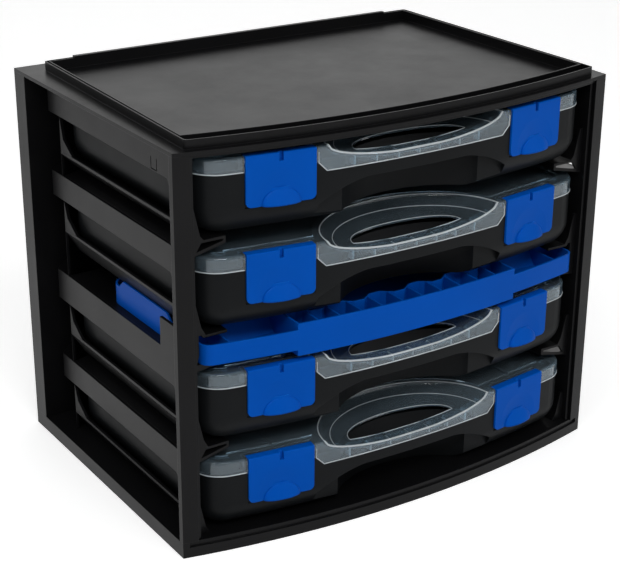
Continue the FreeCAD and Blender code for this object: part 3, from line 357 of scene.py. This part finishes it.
def lid_beads(case):
    """Beads along the moulded edges of a lid, in a milky colour that partly paints the highlight
    lines of those edges.
    """
    base_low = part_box(f"case{case}_base")[0][2]
    top = base_low + CASE_HEIGHT
    y_front = front_y(0)
    bm = bmesh.new()
    # Rim of the dish: along the sagging front edge of the bar, then back round the oval
    start = math.asin((front_y(DISH_HALF) - y_front) / DISH_DEPTH)
    reach = DISH_HALF * math.cos(start)
    front = [dish_point(x, front_y(x) + BAR_INSET, top) for x in spread(-reach, reach, 60)]
    # This bead's milky colour stands in partly for the highlight along the bar's front edge
    tube(bm, front, BAR_BEAD)
    rim = [Vector((x, y, top)) for x, y in arc_round(DISH_HALF, DISH_DEPTH, y_front, start, 60)]
    tube(bm, rim, RIM_BEAD)
    # Line inside the dish, and the edge of the hole
    inner = [dish_point(x, y, top) for x, y in
             arc_round(DISH_HALF * INNER_SHARE, DISH_DEPTH * INNER_SHARE, y_front, start * 1.1, 60)]
    tube(bm, inner, LINE_BEAD)
    y_hole = y_front + HOLE_FRONT
    hole = [dish_point(x, y, top) for x, y in arc_round(HOLE_HALF, HOLE_DEPTH, y_hole, 0.0, 40)]
    hole += [dish_point(x, y_hole, top) for x in spread(-HOLE_HALF, HOLE_HALF, 24)[1:-1]]
    tube(bm, hole, LINE_BEAD, closed=True)
    # Lower edge of the skirt
    low, slope = base_low + LID_SIDE, base_low + SKIRT_LOW
    flat = SKIRT_HALF - SKIRT_CHAMFER
    edge = [(-SKIRT_HALF, top - SKIRT_TOP_DROP), (-SKIRT_HALF, low)]
    edge += [(x, slope) for x in spread(-flat, flat, 40)]
    edge += [(SKIRT_HALF, low), (SKIRT_HALF, top - SKIRT_TOP_DROP)]
    tube(bm, [Vector((x, front_y(x), z)) for x, z in edge], EDGE_BEAD)
    # Lower edge of the lid round the corners
    x_mid = CASE_HALF - CORNER
    y_mid = front_y(x_mid, SETBACK + CORNER)
    turn = math.asin(x_mid / (BOW_RADIUS - SETBACK - CORNER))
    x_end = x_mid * (BOW_RADIUS - SETBACK) / (BOW_RADIUS - SETBACK - CORNER)
    path = [(x, front_y(x)) for x in spread(LATCH_END, x_end, 6)[:-1]]
    path += [(x_mid + CORNER * math.cos(angle), y_mid + CORNER * math.sin(angle))
             for angle in spread(turn - math.pi / 2, 0.0, 16)]
    path.append((CASE_HALF, LID_BACK))
    for side in (-1, 1):
        tube(bm, [Vector((side * x, y, low + EDGE_LIFT)) for x, y in path], EDGE_BEAD)
    ride_piece(f"case{case}_lid_beads", bm, f"case{case}_lid", BEAD_HIGHLIGHT)


RIBS_ASIDE, RIB_PITCH, RIB_HALF, RIB_BACK = 3, 0.018, 0.0009, 0.0092
RIB_GAP, RIB_ROUND, SHEET = 0.0002, 0.0003, 0.0016


def rib_feet(case):
    """Thick feet of the ribs that stand behind the skirt, under the bar; milky, so that they show
    as light lines through the skirt, partly a painted highlight.
    """
    base_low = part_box(f"case{case}_base")[0][2]
    top = base_low + CASE_HEIGHT
    low = base_low + SKIRT_LOW + RIB_GAP
    bm = bmesh.new()
    for index in range(-RIBS_ASIDE, RIBS_ASIDE + 1):
        x = index * RIB_PITCH
        y_front = max(front_y(x - RIB_HALF), front_y(x + RIB_HALF)) + SHEET + RIB_GAP
        y_back = front_y(0) + RIB_BACK
        if y_back - y_front < SHEET:
            continue
        high = dish_point(x, y_front, top, -SHEET - RIB_GAP)[2]
        made = bmesh.ops.create_cube(bm, size=1.0)["verts"]
        for vert in made:
            vert.co = Vector((x + 2 * RIB_HALF * vert.co.x,
                              y_front if vert.co.y < 0 else y_back,
                              low if vert.co.z < 0 else high))
        edges = list({edge for vert in made for edge in vert.link_edges})
        bmesh.ops.bevel(bm, geom=edges, offset=RIB_ROUND, segments=2, affect="EDGES")
    ride_piece(f"case{case}_lid_ribs", bm, f"case{case}_lid", BEAD_HIGHLIGHT)


PANEL_GAP, PANEL_FRONT, PANEL_BACK, PANEL_THICK = 0.0013, 0.0016, 0.0008, 0.0006
PANEL_ROWS, PANEL_COLUMNS = 6, 4


def bar_panels(case):
    """Thicker wall of the bar between its ribs, just under the sheet of the dish; milky, partly
    painting brighter light on the bar.
    """
    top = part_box(f"case{case}_base")[0][2] + CASE_HEIGHT
    y_back = front_y(0) + HOLE_FRONT - PANEL_BACK
    bm = bmesh.new()
    for index in range(-RIBS_ASIDE - 1, RIBS_ASIDE + 1):
        start, end = index * RIB_PITCH + PANEL_GAP, (index + 1) * RIB_PITCH - PANEL_GAP
        layers = []
        for lift in (-SHEET - PANEL_THICK, -SHEET - 2 * PANEL_THICK):
            layer = []
            for share in spread(0.0, 1.0, PANEL_ROWS):
                line = []
                for x in spread(start, end, PANEL_COLUMNS):
                    y_low = front_y(x) + PANEL_FRONT
                    line.append(dish_point(x, y_low + (y_back - y_low) * share, top, lift))
                layer.append(line)
            layers.append(layer)
        slab(bm, layers)
    ride_piece(f"case{case}_lid_panels", bm, f"case{case}_lid", PANEL_HIGHLIGHT)


LIP_HALF, LIP_RISE, LIP_PROUD, LIP_SUNK = 0.0145, 0.0112, 0.0048, -0.0006
LIP_ROWS, LIP_COLUMNS = 12, 24
LIP_TIP, MERGE = 1e-5, 2e-6
# From the hinge of a latch to its face, and down to its lower edge
LATCH_FACE, LATCH_DROP = 0.0046, 0.032


def latch_lip(case, side):
    """Finger lip at the lower edge of a latch: it flares out towards the edge."""
    latch = f"case{case}_{side}_latch"
    joints = frame["record"]["behaviour"]["joints"]
    hinge = next(joint for joint in joints if joint["child"] == latch)
    pivot, axis = Vector(hinge["pos_m"]), Vector(hinge["axis"])
    out = Vector((-axis.y, axis.x, 0.0))
    foot = pivot + LATCH_FACE * out - Vector((0, 0, LATCH_DROP))
    bm = bmesh.new()
    layers = []
    for front in (True, False):
        layer = []
        for rise in spread(0.0, 1.0, LIP_ROWS):
            half = LIP_HALF * math.sqrt(1.0 - rise ** 2) + LIP_TIP
            line = []
            for angle in spread(0.0, math.pi, LIP_COLUMNS):
                proud = LIP_PROUD * (1 - rise) * math.sin(angle) if front else LIP_SUNK
                line.append(foot - half * math.cos(angle) * axis + proud * out
                            + Vector((0, 0, LIP_RISE * rise)))
            layer.append(line)
        layers.append(layer)
    slab(bm, layers)
    bmesh.ops.remove_doubles(bm, verts=bm.verts, dist=MERGE)
    ride_piece(f"{latch}_lip", bm, latch, BLUE)


# Stage

FLOOR_REACH, WALL_Y, WALL_TOP, FLOOR_BEND, FLOOR_GLOW = 12.0, 3.0, 4.5, 0.8, 0.45
WORLD_STRENGTH = 0.32
# Name, place, target, size (metres) and power (watts) of each lamp
LAMPS = (
    ("key", (-1.5, -0.5, 1.8), (0, 0, 0.1), (1.2, 1.2), 9),
    ("fill", (1.2, -1.8, 1.1), (0, 0, 0.15), (1.9, 1.6), 7),
    ("front", (-0.5, -1.5, 1.7), (0, 0, 0.15), (1.4, 0.5), 16),
    ("back", (0.5, 2.0, 1.5), (0, 0, 0.3), (2.8, 1.1), 4.8),
)


def make_stage():
    """Pale floor that runs back and up in one curve."""
    steps = [(-FLOOR_REACH, 0.0)]
    for angle in spread(0.0, math.pi / 2, 12):
        steps.append((WALL_Y - FLOOR_BEND * (1 - math.sin(angle)),
                      FLOOR_BEND * (1 - math.cos(angle))))
    steps.append((WALL_Y, WALL_TOP))
    mesh = bpy.data.meshes.new("floor")
    verts = [(x, y, z) for y, z in steps for x in (-FLOOR_REACH, FLOOR_REACH)]
    faces = [(2 * i, 2 * i + 1, 2 * i + 3, 2 * i + 2) for i in range(len(steps) - 1)]
    mesh.from_pydata(verts, [], faces)
    for poly in mesh.polygons:
        poly.use_smooth = True
    floor = bpy.data.objects.new("floor", mesh)
    bpy.context.scene.collection.objects.link(floor)
    floor.rotation_euler = (0, 0, -YAW)
    mat, nodes, links, shader = new_material("floor_look")
    coords = nodes.new("ShaderNodeTexCoord").outputs["Object"]
    tone = patches(nodes, links, coords, 1.5, 3, 0.5)
    path = nodes.new("ShaderNodeLightPath").outputs
    seen = math_node(nodes, links, "MAXIMUM", path["Is Glossy Ray"], path["Is Transmission Ray"])
    seen = math_node(nodes, links, "MAXIMUM", path["Is Camera Ray"], seen)
    plain = mix_color(nodes, links, tone, (0.80, 0.80, 0.80, 1), (0.83, 0.83, 0.83, 1))
    base = mix_color(nodes, links, seen, plain, (0.985, 0.985, 0.985, 1))
    links.new(base, shader.inputs["Base Color"])
    shader.inputs["Roughness"].default_value = 0.7
    # The floor is white to the camera, in reflections and through the lids, and lights nothing more
    shader.inputs["Emission Color"].default_value = (1, 1, 1, 1)
    glow = math_node(nodes, links, "MULTIPLY", seen, FLOOR_GLOW)
    links.new(glow, shader.inputs["Emission Strength"])
    floor.data.materials.append(mat)


def area_light(name, place, target, size, power):
    data = bpy.data.lights.new(name, "AREA")
    data.shape = "RECTANGLE"
    data.size, data.size_y = size
    data.energy = power
    light = bpy.data.objects.new(name, data)
    bpy.context.scene.collection.objects.link(light)
    light.location = place
    light.rotation_euler = (Vector(target) - Vector(place)).to_track_quat("-Z", "Y").to_euler()


def make_lights():
    """Even world light and four soft lamps."""
    world = bpy.data.worlds.new("world")
    bpy.context.scene.world = world
    world.use_nodes = True
    back = next(n for n in world.node_tree.nodes if n.type == "BACKGROUND")
    back.inputs["Color"].default_value = (1, 1, 1, 1)
    back.inputs["Strength"].default_value = WORLD_STRENGTH
    for lamp in LAMPS:
        area_light(*lamp)


make_camera()
make_lights()
make_stage()
dress_nodes()
for case in (1, 2, 3, 4):
    lid_beads(case)
    rib_feet(case)
    bar_panels(case)
    latch_lip(case, "left")
    latch_lip(case, "right")

bpy.context.scene.view_settings.view_transform = "Standard"
